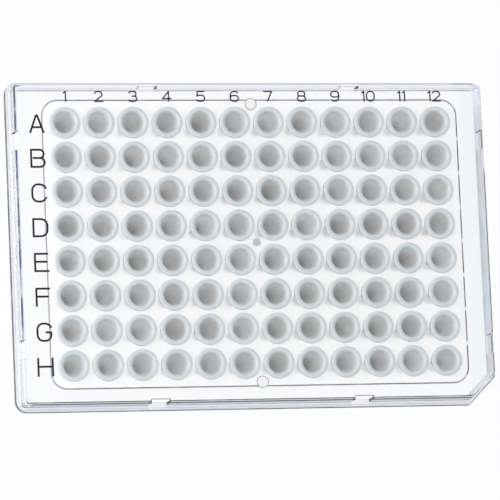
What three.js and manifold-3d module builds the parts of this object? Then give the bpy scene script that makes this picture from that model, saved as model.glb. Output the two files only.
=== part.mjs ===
// 96-well PCR plate: a clear, rigid frame that carries one moulding of 96 thin-walled tubes.
//
// Millimetres, +Z up. The plate lies as it is used, on its tube tips, with the wells open upward.
// The origin is at the centre of the footprint, level with the tips. +X runs along the rows, from
// column 1 to column 12, and +Y runs from row H to row A.

import * as THREE from 'three';
import { mergeVertices } from 'three/addons/utils/BufferGeometryUtils.js';
import Module from 'manifold-3d';

const wasm = await Module();
wasm.setup();

// ---- Driving dimensions -------------------------------------------------------------------

// The grid of wells.
const PITCH = 9;
const COLUMNS = 12;
const ROWS = 8;

// The frame. The foot reaches past the middles of the outer wells by these two margins.
const MARGIN_BESIDE_COLUMNS = 14.38;
const MARGIN_BESIDE_ROWS = 11.24;
const LEDGE_REACH = 1.3; // the foot stands this far outside the upper wall
const WALL = 0.75;
const DECK_THICKNESS = 0.8;
const SKIRT_HEIGHT = 6.6; // deck top to foot
const LEDGE_DEPTH = 4.6; // deck top to ledge top

// The corners of the frame, seen from above. The one at H12 is cut off, so that the plate can
// be told from its mirror image.
const FOOT_CORNER_RADIUS = 3;
const WALL_CORNER_RADIUS = 0.9;
const LEAST_CORNER_RADIUS = 0.1; // inside a wall that is thicker than its corner's radius
const CORNER_CUT = 7.2; // leg of the cut, measured at the foot

// The gripper notches, two to a side.
const NOTCH_SPACING = 6 * PITCH; // they stand between two columns, and between two rows
const NOTCH_WIDTH = 4.8;
const NOTCH_DEPTH = 1.05;

// The tubes.
const TUBE_HEIGHT = 15.5; // rim to tip
const RIM_ABOVE_DECK = 0.9;
const MOUTH_RADIUS = 2.7;
const COLLAR_WIDTH = 1.4; // the flat rim round the mouth
const BORE_FLOOR_RADIUS = 0.9;
const TUBE_WALL = 0.45;
const TUBE_FLOOR = 1.1;
const TIP_HEIGHT = 0.5; // of the blunt point that closes a tube

// The web that joins the tubes, with its gate mark and its two round ears.
const WEB_MARGIN = 6.05; // past the middles of the outer wells
const WEB_THICKNESS = 0.25;
const WEB_CORNER_RADIUS = 4.3;
const EAR_RADIUS = 1.6;
const EAR_INSET = 1.2; // from the long edges of the web to the middles of the ears
const GATE_RADIUS = 1.05;
const GATE_HEIGHT = 0.15;

// The two mouldings stand this far apart, all round.
const SEAT_GAP = 0.3;

// Faces round a well, round a corner and round a small disc.
const WELL_SIDES = 8;
const CORNER_STEPS = 4;
const DISC_SIDES = 16;

// ---- Sizes and levels that follow -----------------------------------------------------------

const GRID_LENGTH = (COLUMNS - 1) * PITCH;
const GRID_WIDTH = (ROWS - 1) * PITCH;
const FOOT_LENGTH = GRID_LENGTH + 2 * MARGIN_BESIDE_COLUMNS;
const FOOT_WIDTH = GRID_WIDTH + 2 * MARGIN_BESIDE_ROWS;
const WEB_LENGTH = GRID_LENGTH + 2 * WEB_MARGIN;
const WEB_WIDTH = GRID_WIDTH + 2 * WEB_MARGIN;
const COLLAR_RADIUS = MOUTH_RADIUS + COLLAR_WIDTH;

const RIM_TOP = TUBE_HEIGHT;
const DECK_TOP = RIM_TOP - RIM_ABOVE_DECK;
const DECK_UNDERSIDE = DECK_TOP - DECK_THICKNESS;
const LEDGE_TOP = DECK_TOP - LEDGE_DEPTH;
const LEDGE_UNDERSIDE = LEDGE_TOP - WALL;
const FOOT = DECK_TOP - SKIRT_HEIGHT;
const WEB_UNDERSIDE = DECK_TOP + SEAT_GAP;
const WEB_TOP = WEB_UNDERSIDE + WEB_THICKNESS;
const COLLAR_ROOT = (WEB_UNDERSIDE + WEB_TOP) / 2; // inside the web, which the collar grows from

// A cut runs past the solid that it opens, so that it leaves no skin.
const OVERRUN = 1;

// The bore narrows evenly from its mouth to its floor, and the wall round it is of even thickness.
const boreRadiusAt = (z) => THREE.MathUtils.mapLinear(
  z, TUBE_FLOOR, RIM_TOP, BORE_FLOOR_RADIUS, MOUTH_RADIUS);
const tubeRadiusAt = (z) => boreRadiusAt(z) + TUBE_WALL;

// ---- Solids ----------------------------------------------------------------------------------

// Turns a closed three.js geometry into a solid that can be joined and cut.
function toSolid(geometry) {
  geometry.deleteAttribute('normal');
  geometry.deleteAttribute('uv');
  const merged = mergeVertices(geometry);
  const index = merged.index.array;
  const triangles = [];
  for (let i = 0; i < index.length; i += 3) {
    const [a, b, c] = index.slice(i, i + 3);
    const collapsed = a === b || b === c || c === a; // as at the axis of a revolve
    if (!collapsed) triangles.push(a, b, c);
  }
  return new wasm.Manifold(new wasm.Mesh({
    numProp: 3,
    vertProperties: merged.attributes.position.array,
    triVerts: Uint32Array.from(triangles),
  }));
}

function toMesh(name, solid, material) {
  const { vertProperties, triVerts } = solid.getMesh();
  const geometry = new THREE.BufferGeometry();
  geometry.setAttribute('position', new THREE.BufferAttribute(vertProperties, 3));
  geometry.setIndex(new THREE.BufferAttribute(triVerts, 1));
  geometry.computeVertexNormals();
  const mesh = new THREE.Mesh(geometry, material);
  mesh.name = name;
  return mesh;
}

// A shape drawn in plan, carried from one level up to another.
function prism(shape, bottom, top) {
  const geometry = new THREE.ExtrudeGeometry(shape, {
    depth: top - bottom,
    bevelEnabled: false,
    curveSegments: CORNER_STEPS,
  });
  geometry.translate(0, 0, bottom);
  return toSolid(geometry);
}

// A profile of [radius, level] points, from the axis and back to it, turned about a well's axis.
// The flats of the turned form face the neighbouring wells.
function revolve(profile, sides) {
  const points = profile.map(([radius, level]) => new THREE.Vector2(radius, level));
  const geometry = new THREE.LatheGeometry(points, sides, Math.PI / sides);
  geometry.rotateX(Math.PI / 2);
  return toSolid(geometry);
}

function disc(radius, bottom, top, x, y) {
  return revolve([[0, bottom], [radius, bottom], [radius, top], [0, top]], DISC_SIDES)
    .translate([x, y, 0]);
}

const joined = (solids) => solids.reduce((whole, solid) => whole.add(solid));

// One copy of a solid on the axis of each well.
function atEachWell(solid) {
  const copies = [];
  for (let row = 0; row < ROWS; row += 1) {
    for (let column = 0; column < COLUMNS; column += 1) {
      const x = column * PITCH - GRID_LENGTH / 2;
      const y = GRID_WIDTH / 2 - row * PITCH;
      copies.push(solid.translate([x, y, 0]));
    }
  }
  return joined(copies);
}

// ---- Outlines, seen from above ---------------------------------------------------------------

function roundedRectangle(length, width, radius) {
  const x = length / 2;
  const y = width / 2;
  const shape = new THREE.Shape();
  shape.absarc(x - radius, y - radius, radius, 0, Math.PI / 2);
  shape.absarc(-x + radius, y - radius, radius, Math.PI / 2, Math.PI);
  shape.absarc(-x + radius, -y + radius, radius, Math.PI, 1.5 * Math.PI);
  shape.absarc(x - radius, -y + radius, radius, 1.5 * Math.PI, 2 * Math.PI);
  return shape;
}

// The frame's outline, drawn in from the foot by an inset. The cut at H12 moves in with it.
function frameOutline(inset, radius) {
  const x = FOOT_LENGTH / 2 - inset;
  const y = FOOT_WIDTH / 2 - inset;
  const cut = CORNER_CUT - inset * (2 - Math.SQRT2);
  const shape = new THREE.Shape();
  shape.absarc(x - radius, y - radius, radius, 0, Math.PI / 2);
  shape.absarc(-x + radius, y - radius, radius, Math.PI / 2, Math.PI);
  shape.absarc(-x + radius, -y + radius, radius, Math.PI, 1.5 * Math.PI);
  shape.lineTo(x - cut, -y);
  shape.lineTo(x, -y + cut);
  return shape;
}

// ---- The frame ---------------------------------------------------------------------------------

// The notches open the upper wall from the deck down to the ledge, and cut into the deck's edge.
function notches() {
  const wallX = FOOT_LENGTH / 2 - LEDGE_REACH;
  const wallY = FOOT_WIDTH / 2 - LEDGE_REACH;
  const height = LEDGE_DEPTH + OVERRUN;
  const depth = NOTCH_DEPTH + OVERRUN;
  const middle = LEDGE_TOP + height / 2;
  const alongX = toSolid(new THREE.BoxGeometry(NOTCH_WIDTH, depth, height));
  const alongY = toSolid(new THREE.BoxGeometry(depth, NOTCH_WIDTH, height));
  const cuts = [];
  for (const side of [-1, 1]) {
    for (const place of [-NOTCH_SPACING / 2, NOTCH_SPACING / 2]) {
      const outward = depth / 2 - NOTCH_DEPTH;
      cuts.push(alongX.translate([place, side * (wallY + outward), middle]));
      cuts.push(alongY.translate([side * (wallX + outward), place, middle]));
    }
  }
  return joined(cuts);
}

// A deck on a stepped skirt, of even wall: the upper wall drops to a ledge, and the ledge's lip
// drops to the foot.
function buildFrame() {
  const inner = (radius) => Math.max(radius - WALL, LEAST_CORNER_RADIUS);
  const upperOutside = frameOutline(LEDGE_REACH, WALL_CORNER_RADIUS);
  const upperInside = frameOutline(LEDGE_REACH + WALL, inner(WALL_CORNER_RADIUS));
  const lipOutside = frameOutline(0, FOOT_CORNER_RADIUS);
  const lipInside = frameOutline(WALL, inner(FOOT_CORNER_RADIUS));
  const outside = prism(upperOutside, FOOT, DECK_TOP)
    .add(prism(lipOutside, FOOT, LEDGE_TOP));
  const inside = prism(upperInside, FOOT - OVERRUN, DECK_UNDERSIDE)
    .add(prism(lipInside, FOOT - OVERRUN, LEDGE_UNDERSIDE));
  const holeRadius = tubeRadiusAt(DECK_TOP) + SEAT_GAP / Math.cos(Math.PI / WELL_SIDES);
  const hole = revolve([
    [0, DECK_UNDERSIDE - OVERRUN],
    [holeRadius, DECK_UNDERSIDE - OVERRUN],
    [holeRadius, DECK_TOP + OVERRUN],
    [0, DECK_TOP + OVERRUN],
  ], WELL_SIDES);
  return outside.subtract(inside).subtract(atEachWell(hole)).subtract(notches());
}

// ---- The tubes and their web -------------------------------------------------------------------

// The outside of one tube: a flat collar over the deck, and a cone that ends in a blunt point.
function tubeOutside() {
  return revolve([
    [0, 0],
    [tubeRadiusAt(TIP_HEIGHT), TIP_HEIGHT],
    [tubeRadiusAt(COLLAR_ROOT), COLLAR_ROOT],
    [COLLAR_RADIUS, COLLAR_ROOT],
    [COLLAR_RADIUS, RIM_TOP],
    [0, RIM_TOP],
  ], WELL_SIDES);
}

function bore() {
  return revolve([
    [0, TUBE_FLOOR],
    [BORE_FLOOR_RADIUS, TUBE_FLOOR],
    [boreRadiusAt(RIM_TOP + OVERRUN), RIM_TOP + OVERRUN],
    [0, RIM_TOP + OVERRUN],
  ], WELL_SIDES);
}

function web() {
  const sheet = prism(
    roundedRectangle(WEB_LENGTH, WEB_WIDTH, WEB_CORNER_RADIUS), WEB_UNDERSIDE, WEB_TOP);
  const earY = WEB_WIDTH / 2 - EAR_INSET;
  return joined([
    sheet,
    disc(EAR_RADIUS, WEB_UNDERSIDE, WEB_TOP, 0, earY),
    disc(EAR_RADIUS, WEB_UNDERSIDE, WEB_TOP, 0, -earY),
    disc(GATE_RADIUS, WEB_UNDERSIDE, WEB_TOP + GATE_HEIGHT, 0, 0),
  ]);
}

function buildWells() {
  return web().add(atEachWell(tubeOutside())).subtract(atEachWell(bore()));
}

// ---- The plate -----------------------------------------------------------------------------------

const clearPolycarbonate = new THREE.MeshStandardMaterial({
  color: 0xe9edf3, roughness: 0.08, metalness: 0, transparent: true, opacity: 0.35,
});
const naturalPolypropylene = new THREE.MeshStandardMaterial({
  color: 0xd5dbde, roughness: 0.4, metalness: 0,
});

const plate = new THREE.Group();
plate.add(toMesh('frame', buildFrame(), clearPolycarbonate));
plate.add(toMesh('wells', buildWells(), naturalPolypropylene));

export default plate;
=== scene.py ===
"""A 96-well PCR plate: a clear, stepped frame that carries one frosted moulding of 96 tubes.

The plate lies on its tube tips with the wells open upward. +X runs from column 1 to column 12,
+Y runs from row H to row A, and +Z is up. All lengths are in metres.
"""

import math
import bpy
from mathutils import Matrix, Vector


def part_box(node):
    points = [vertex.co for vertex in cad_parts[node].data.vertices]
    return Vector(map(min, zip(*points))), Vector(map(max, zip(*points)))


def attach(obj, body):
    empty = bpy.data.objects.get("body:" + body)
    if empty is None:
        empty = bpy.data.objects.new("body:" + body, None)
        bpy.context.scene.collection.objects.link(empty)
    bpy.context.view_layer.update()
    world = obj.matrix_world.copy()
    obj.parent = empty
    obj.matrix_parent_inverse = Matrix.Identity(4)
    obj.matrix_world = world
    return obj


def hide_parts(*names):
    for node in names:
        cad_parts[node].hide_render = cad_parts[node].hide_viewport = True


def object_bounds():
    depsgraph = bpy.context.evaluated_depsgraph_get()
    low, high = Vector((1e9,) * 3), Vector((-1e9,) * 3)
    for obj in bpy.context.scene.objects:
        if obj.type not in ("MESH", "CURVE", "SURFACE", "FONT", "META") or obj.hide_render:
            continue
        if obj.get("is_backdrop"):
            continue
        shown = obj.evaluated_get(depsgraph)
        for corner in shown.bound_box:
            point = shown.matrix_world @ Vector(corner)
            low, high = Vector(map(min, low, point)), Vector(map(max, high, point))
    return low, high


bl_info = {
    "name": "PCR Plate, 96 Wells",
    "version": (1, 0, 0),
    "blender": (4, 5, 0),
    "location": "View3D > Sidebar > PCR Plate",
    "description": "Models a clear-framed 96-well PCR plate on a studio table",
    "category": "Add Mesh",
}

import bmesh
import bpy
from bpy.props import (
    FloatProperty,
    FloatVectorProperty,
    IntProperty,
    PointerProperty,
)
from bpy.types import Operator, Panel, PropertyGroup
from mathutils import Euler, Matrix, Vector

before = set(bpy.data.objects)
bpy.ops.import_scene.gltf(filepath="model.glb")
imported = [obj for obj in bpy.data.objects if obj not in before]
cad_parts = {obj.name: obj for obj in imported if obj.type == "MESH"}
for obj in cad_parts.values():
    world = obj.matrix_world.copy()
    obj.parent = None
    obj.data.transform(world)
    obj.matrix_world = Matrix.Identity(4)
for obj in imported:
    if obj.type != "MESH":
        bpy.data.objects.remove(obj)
CAD_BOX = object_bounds()
FRAME_LOW, FRAME_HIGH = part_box("frame")
WELLS_LOW, WELLS_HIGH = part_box("wells")

MM = 0.001
HAIR = 0.02 * MM  # keeps two faces that would lie flush apart


# ---- Sizes and colours -------------------------------------------


def length(name, description, default):
    """A size that the sidebar shows as a length."""
    return FloatProperty(
        name=name, description=description, default=default, unit="LENGTH", precision=5
    )


def colour(name, description, default):
    """A colour that the sidebar shows as a swatch."""
    return FloatVectorProperty(
        name=name, description=description, default=default, subtype="COLOR", min=0, max=1
    )


class GridSizes(PropertyGroup):
    """The grid of wells."""

    pitch: length("Pitch", "Between the middles of neighbouring wells", 9 * MM)
    columns: IntProperty(name="Columns", description="Wells in a row", default=12, min=1)
    rows: IntProperty(name="Rows", description="Wells in a column", default=8, min=1)


class FrameSizes(PropertyGroup):
    """The clear frame."""

    foot_length: length("Foot length", "Over the foot, along the rows", FRAME_HIGH.x - FRAME_LOW.x)
    foot_width: length("Foot width", "Over the foot, across the rows", FRAME_HIGH.y - FRAME_LOW.y)
    deck_top: length("Deck top", "Level of the deck's upper face", FRAME_HIGH.z)
    foot: length("Foot", "Level of the foot", FRAME_LOW.z)
    deck: length("Deck", "Thickness of the deck", 0.8 * MM)
    wall: length("Wall", "Thickness of the skirt", 0.75 * MM)
    ledge_depth: length("Ledge depth", "Deck top to ledge top", 4.6 * MM)
    ledge_reach: length("Ledge reach", "Foot past the upper wall", 1.3 * MM)
    foot_corner: length("Foot corner", "Radius of the foot's corners", 3 * MM)
    wall_corner: length("Wall corner", "Radius of the upper wall's corners", 0.9 * MM)
    inner_corner: length("Inner corner", "Radius inside the upper wall's corners", 0.15 * MM)
    corner_cut: length("Corner cut", "Leg of the cut at H12, at the foot", 7.2 * MM)
    notch_width: length("Notch width", "Width of a gripper notch", 4.8 * MM)
    notch_depth: length("Notch depth", "From the upper wall into the deck", 1.05 * MM)
    hole_gap: length("Hole gap", "Between a tube and its hole in the deck", 0.3 * MM)
    edge: length("Edge", "Width of the rounding on each edge", 0.18 * MM)
    # The seam and the rim line are bands of the top faces that carry painted lines.
    seam: length("Seam", "Width of the lines along the wall's two edges", 0.25 * MM)
    rim_line: length("Rim line", "Width of the line along the ledge's edge", 0.4 * MM)


class TubeSizes(PropertyGroup):
    """One well, with its collar."""

    rim: length("Rim", "Level of the collar's flat rim", WELLS_HIGH.z)
    tip: length("Tip", "Level of the tube's tip", WELLS_LOW.z)
    mouth: length("Mouth", "Radius of the bore, were it to run on to the rim", 2.68 * MM)
    collar: length("Collar", "Radius of the collar", 4.08 * MM)
    flare: length("Flare", "Radius of the flare at the rim", 3.1 * MM)
    flare_depth: length("Flare depth", "Depth of the flare round the mouth", 0.65 * MM)
    floor: length("Bore floor", "Level of the bore's floor", 1.1 * MM)
    floor_radius: length("Floor radius", "Radius of the bore at its floor", 0.9 * MM)
    wall: length("Wall", "Thickness of the tube", 0.45 * MM)
    rounding: length("Rounding", "Rounding on the collar's edge", 0.2 * MM)
    mouth_rounding: length("Mouth rounding", "Rounding on the flare's edge", 0.15 * MM)
    floor_rounding: length("Floor rounding", "Rounding round the bore's floor", 0.5 * MM)
    tip_rounding: length("Tip rounding", "Rounding on the tube's tip", 0.8 * MM)
    sides: IntProperty(name="Sides", description="Faces round a well", default=32, min=8)


class WebSizes(PropertyGroup):
    """The thin sheet that joins the tubes."""

    underside: length("Underside", "Level of its lower face", FRAME_HIGH.z + 0.01 * MM)
    top: length("Top", "Level of its upper face", FRAME_HIGH.z + 0.13 * MM)
    margin: length("Margin", "Past the middles of the outer wells", 6.05 * MM)
    corner: length("Corner", "Radius of the sheet's corners", 4.3 * MM)
    edge: length("Edge", "Width of the bead round the sheet", 0.32 * MM)
    ear: length("Ear", "Radius of a round ear", 1.6 * MM)
    ear_inset: length("Ear inset", "Sheet's edge to the middle of an ear", 1.2 * MM)
    gate: length("Gate", "Radius of the gate mark", 1.05 * MM)
    gate_height: length("Gate height", "Gate mark over the sheet", 0.15 * MM)


class PrintSizes(PropertyGroup):
    """The printed row letters and column numbers."""

    letter: length("Letter height", "Height of a row letter", 4.45 * MM)
    letter_stroke: length("Letter stroke", "Width of a row letter's stroke", 0.5 * MM)
    letter_place: length("Letter place", "Outer wells to the middles of the letters", 7.30 * MM)
    letter_drop: length("Letter drop", "Middle of a row down to its letter's middle", 0.2 * MM)
    number: length("Number height", "Height of a column number", 2.58 * MM)
    number_stroke: length("Number stroke", "Width of a column number's stroke", 0.33 * MM)
    number_place: length("Number place", "Outer wells to the feet of the numbers", 5.62 * MM)
    number_shift: length("Number shift", "Middle of a column to its number's middle", 0.25 * MM)
    ink: length("Ink", "Print over the web", 0.03 * MM)


class Finishes(PropertyGroup):
    """The colours of the materials."""

    polycarbonate: colour("Polycarbonate", "The clear frame", (0.95, 0.955, 0.962))
    # Painted shade: the deck's darker, bluer tone past column 12.
    polycarbonate_12: colour(
        "Polycarbonate at column 12", "The clear frame's tone past column 12", (0.88, 0.92, 0.945)
    )
    collar: colour("Collar", "The frosted collars", (0.625, 0.665, 0.69))
    # Painted light: the bore is painted lighter down to its floor, to offset the shade deep in it.
    bore: colour("Bore", "The bore under its flare", (0.77, 0.79, 0.81))
    bore_floor: colour("Bore floor", "The bore at its floor", (0.95, 0.955, 0.95))
    warm_bore: colour("Warm bore", "The cast of the warmer bores", (0.42, 0.38, 0.34))
    # Painted light: the tubes' outside is painted near white, to offset the shade under the deck.
    tube: colour("Tube", "The outside of the tubes", (0.97, 0.985, 0.99))
    # Painted reflection: the dark lines on the frame's edges, which each side brightens by its own
    # gain.
    edge: colour("Moulded edge", "The frame's rounded edges", (0.30, 0.31, 0.36))
    # Painted light: the skirt takes its own tone on each side, for how light falls there.
    skirt_a: colour("Skirt at row A", "The skirt's tone behind row A", (0.97, 0.97, 0.98))
    skirt_h: colour("Skirt at row H", "The skirt's tone before row H", (0.76, 0.79, 0.84))
    skirt_1: colour("Skirt at column 1", "The skirt's tone beside column 1", (0.92, 0.94, 0.97))
    skirt_12: colour("Skirt at column 12", "The skirt's tone beside column 12", (0.84, 0.85, 0.87))
    # Painted reflection: the dark navy band that the wall beside column 1 shows of the dark
    # surround.
    navy_reflection: colour("Smoke", "The wall beside column 1, seen end-on", (0.05, 0.08, 0.17))
    # Painted reflection: the dark line of the web's edge, and its light gaps between the reflected
    # wells.
    bead: colour("Bead", "The edge of the web", (0.16, 0.15, 0.18))
    bead_gap: colour("Bead gap", "The web's edge where its line is broken", (0.8, 0.8, 0.82))
    ink: colour("Ink", "The letters and numbers", (0.004, 0.004, 0.006))
    table: colour("Table", "The studio table", (0.93, 0.93, 0.94))


class Studio(PropertyGroup):
    """The camera and the lamps."""

    aim: FloatVectorProperty(
        name="Aim", description="Point on the rim plane that the camera looks at, from its middle",
        default=(-2.05 * MM, -2.10 * MM, 0), subtype="TRANSLATION", unit="LENGTH",
    )
    turn: FloatVectorProperty(
        name="Turn", description="Turn of the camera",
        default=tuple(math.radians(angle) for angle in (8.70, -13.54, -2.57)),
        subtype="EULER", unit="ROTATION",
    )
    distance: length("Distance", "Camera to its aim", 1.1677)
    lens: FloatProperty(
        name="Lens", description="Focal length, on a sensor 36 mm wide", default=325.2,
    )
    softbox: FloatProperty(
        name="Softbox", description="Power of the overhead softbox", default=3.0, unit="POWER",
    )
    fill: FloatProperty(
        name="Fill", description="Strength of the light from all round", default=0.6, min=0,
    )


PROPERTY_GROUPS = {
    "plate_grid": GridSizes,
    "plate_frame": FrameSizes,
    "plate_tubes": TubeSizes,
    "plate_web": WebSizes,
    "plate_print": PrintSizes,
    "plate_finishes": Finishes,
    "plate_studio": Studio,
}


# ---- Mesh helpers ------------------------------------------------

SMOOTH_ANGLE = math.radians(40)  # edges sharper than this stay sharp on a smooth piece


def round_corner(bm, vert, radius, segments):
    """Rounds one corner of a wire or of a flat face."""
    bmesh.ops.bevel(
        bm, geom=[vert], affect="VERTICES", offset=radius, offset_type="OFFSET",
        segments=segments, profile=0.5, material=-1,
    )


def verts_of(geom):
    """The vertices among what an operator gives back."""
    return [item for item in geom if isinstance(item, bmesh.types.BMVert)]


def add_piece(name, bm, materials, smooth=False):
    """Turns a bmesh into an object of the scene, and frees it."""
    mesh = bpy.data.meshes.new(name)
    bm.to_mesh(mesh)
    bm.free()
    if smooth:
        mesh.shade_smooth()
        mesh.set_sharp_from_angle(angle=SMOOTH_ANGLE)
    piece = bpy.data.objects.new(name, mesh)
    bpy.context.scene.collection.objects.link(piece)
    for material in materials:
        mesh.materials.append(material)
    return piece


def apply_modifiers(piece):
    """Makes a piece's modifiers part of its mesh."""
    finished = piece.evaluated_get(bpy.context.evaluated_depsgraph_get())
    mesh = bpy.data.meshes.new_from_object(finished)
    old = piece.data
    piece.modifiers.clear()
    piece.data = mesh
    bpy.data.meshes.remove(old)


def cut_away(piece, bm):
    """Cuts the solids in a bmesh out of a piece."""
    cutter = add_piece("cutter", bm, piece.data.materials)
    boolean = piece.modifiers.new("cut", "BOOLEAN")
    boolean.operation = "DIFFERENCE"
    boolean.solver = "EXACT"
    boolean.object = cutter
    apply_modifiers(piece)
    bpy.data.meshes.remove(cutter.data)


def well_places(grid):
    """The middle of each well, row by row."""
    for row in range(grid.rows):
        for column in range(grid.columns):
            x = (column - (grid.columns - 1) / 2) * grid.pitch
            y = ((grid.rows - 1) / 2 - row) * grid.pitch
            yield Vector((x, y, 0))


def add_cylinder(bm, radius, bottom, top, place, sides):
    """Adds an upright cylinder to a bmesh."""
    middle = Matrix.Translation(place + Vector((0, 0, (bottom + top) / 2)))
    bmesh.ops.create_cone(
        bm, cap_ends=True, segments=sides, radius1=radius, radius2=radius,
        depth=top - bottom, matrix=middle,
    )


# ---- Materials ---------------------------------------------------


class Value:
    """A number from a socket. Arithmetic on it adds Math nodes to its tree."""

    def __init__(self, finish, socket):
        self.finish = finish
        self.socket = socket

    def _math(self, operation, *terms):
        node = self.finish.node(
            "ShaderNodeMath", {"operation": operation}, dict(enumerate(terms))
        )
        return Value(self.finish, node.outputs[0])

    def __add__(self, other):
        return self._math("ADD", self, other)

    __radd__ = __add__

    def __sub__(self, other):
        return self._math("SUBTRACT", self, other)

    def __rsub__(self, other):
        return self._math("SUBTRACT", other, self)

    def __mul__(self, other):
        return self._math("MULTIPLY", self, other)

    __rmul__ = __mul__

    def __pow__(self, other):
        return self._math("POWER", self, other)

    def cosine(self):
        """The cosine of the number, in radians."""
        return self._math("COSINE", self)

    def clamped(self):
        """The number, kept between 0 and 1."""
        return self._math("MINIMUM", self._math("MAXIMUM", self, 0), 1)


class Finish:
    """A material, or a world, and its node tree."""

    def __init__(self, owner):
        self.owner = owner
        owner.use_nodes = True
        self.tree = owner.node_tree
        self.tree.nodes.clear()

    def node(self, kind, settings=None, inputs=None):
        """Adds a node of a type, makes its settings, and fills or links its sockets."""
        node = self.tree.nodes.new(kind)
        for name, value in (settings or {}).items():
            if name == "stops":
                set_stops(node.color_ramp, value)
            else:
                setattr(node, name, value)
        for name, value in (inputs or {}).items():
            if isinstance(value, Value):
                self.tree.links.new(value.socket, node.inputs[name])
            elif isinstance(value, bpy.types.NodeSocket):
                self.tree.links.new(value, node.inputs[name])
            else:
                node.inputs[name].default_value = value
        return node

    def place(self):
        """Where a point is on the object, in metres."""
        return self.node("ShaderNodeTexCoord").outputs["Object"]

    def axes(self):
        """Where a point is on the object, as its x, its y and its z."""
        apart = self.node("ShaderNodeSeparateXYZ", {}, {"Vector": self.place()})
        return [Value(self, socket) for socket in apart.outputs]

    def noise(self, scale, detail=2.0, roughness=0.5, stretch=(1, 1, 1)):
        """A noise of a number of spots to the metre."""
        spot = self.node(
            "ShaderNodeMapping", {}, {"Vector": self.place(), "Scale": stretch}
        ).outputs[0]
        noise = self.node(
            "ShaderNodeTexNoise", {},
            {"Vector": spot, "Scale": scale, "Detail": detail, "Roughness": roughness},
        )
        return Value(self, noise.outputs["Fac"])

    def ramp(self, value, stops):
        """A value turned into one of several colours, or blends of them."""
        return self.node("ShaderNodeValToRGB", {"stops": stops}, {"Fac": value}).outputs["Color"]

    def blend(self, factor, first, second):
        """A blend of two colours."""
        mix = self.node(
            "ShaderNodeMix", {"data_type": "RGBA"}, {0: factor, 6: first, 7: second}
        )
        return mix.outputs[2]

    def mix_shaders(self, factor, first, second):
        """A mix of two shaders."""
        mix = self.node("ShaderNodeMixShader", {}, {"Fac": factor, 1: first, 2: second})
        return mix.outputs["Shader"]

    def bump(self, height, distance, strength=1.0):
        """A normal that a height field tilts."""
        return self.node(
            "ShaderNodeBump", {}, {"Height": height, "Distance": distance, "Strength": strength}
        ).outputs["Normal"]

    def principled(self, **inputs):
        """The surface shader, with its sockets named by their labels in lower case."""
        named = {
            label.replace("_", " ").title().replace("Ior", "IOR"): value
            for label, value in inputs.items()
        }
        return self.node("ShaderNodeBsdfPrincipled", {}, named).outputs["BSDF"]

    def surface(self, shader):
        """Makes a shader the surface, and gives the finished material back."""
        self.node("ShaderNodeOutputMaterial", {}, {"Surface": shader})
        return self.owner


def set_stops(ramp, stops):
    """Sets the stops of a colour ramp."""
    while len(ramp.elements) > 1:
        ramp.elements.remove(ramp.elements[-1])
    for index, (position, rgb) in enumerate(stops):
        stop = ramp.elements[0] if index == 0 else ramp.elements.new(position)
        stop.position = position
        stop.color = (*rgb, 1)


def new_finish(name):
    """A new material under a name."""
    return Finish(bpy.data.materials.new(name))


def rgba(rgb, gain=1.0):
    """A colour property as the four numbers of a colour socket, brightened by a gain."""
    return (*(min(channel * gain, 1) for channel in rgb), 1)


WHITE = (1, 1, 1, 1)
FADE = 1.25 * MM  # one side's tone turns into the next over this
SIDE = 3.5 * MM  # the skirt's tones reach this far in from the foot
CUT_CORNER = 8 * MM  # a side's tone that reaches this far in covers the cut corner
# Lower than solid polycarbonate's, so that thin walls pass the table's light on and don't trap it.
CLEAR_INDEX = 1.37
MILKY_INDEX = 1.49


def clear_polycarbonate(finishes):
    """Clear, glossy polycarbonate, with faint flow marks and a trace of scuffing, and painted
    shade in a darker, bluer tone past column 12.
    """
    finish = new_finish("clear_polycarbonate")
    flow = finish.noise(60, detail=1, stretch=(1, 1, 0.4))
    scuffs = finish.noise(900, detail=3)
    return finish.surface(finish.principled(
        base_color=finish.blend(
            past_column_12(finish, 10 * MM, 4 * MM), rgba(finishes.polycarbonate),
            rgba(finishes.polycarbonate_12),
        ),
        roughness=scuffs ** 3 * 0.12 + 0.01,
        transmission_weight=1.0,
        ior=CLEAR_INDEX,
        normal=finish.bump(flow, 0.05 * MM, 0.35),
    ))


def past_column_12(finish, inset=SIDE, fade=FADE):
    """Rises from 0 to 1 past column 12."""
    x, _, _ = finish.axes()
    return ((x - FRAME_HIGH.x + inset) * (1 / fade)).clamped()


def side_tones(finish, row_a, row_h, column_1, column_12, inset=SIDE, inset_12=SIDE):
    """A painted tone for each side of the plate, for how light falls on that side, which blend at
    the corners.

    The one past column 12 reaches in by its own inset, which may take in the cut corner.
    """
    x, y, _ = finish.axes()
    past_row_h = (y + FRAME_HIGH.y - inset) * (1 / FADE)
    past_column_1 = (inset - FRAME_HIGH.x - x) * (1 / FADE)
    tone = finish.blend(past_row_h.clamped(), row_h, row_a)
    tone = finish.blend(past_column_1.clamped(), tone, column_1)
    return finish.blend(past_column_12(finish, inset_12), tone, column_12)


def clear_plastic(finish, tone, roughness, transmission=1.0, gloss=0.5):
    """Makes a tone of clear plastic the surface."""
    return finish.surface(finish.principled(
        base_color=tone, roughness=roughness, transmission_weight=transmission, ior=CLEAR_INDEX,
        specular_ior_level=gloss,
    ))


def dark_plastic(finish, tone, roughness):
    """Makes a tone of plastic the surface that lets little through and doesn't shine, for the
    frame's painted lines.
    """
    return clear_plastic(finish, tone, roughness, transmission=0.15, gloss=0)


def moulded_edge(name, finishes, **gains):
    """Edges of the clear frame, as painted reflections: dark lines for the dark surround that the
    edges show, brightened by a gain for each of its four sides, and lighter in patches.
    """
    finish = new_finish(name)
    patches = finish.noise(160, detail=2)
    tones = {side: rgba(finishes.edge, gain) for side, gain in gains.items()}
    tone = side_tones(finish, inset=2 * MM, inset_12=CUT_CORNER, **tones)
    patchy = finish.blend((patches * 2 - 1).clamped(), tone, rgba(finishes.skirt_12))
    return dark_plastic(finish, patchy, patches * 0.2 + 0.05)


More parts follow.
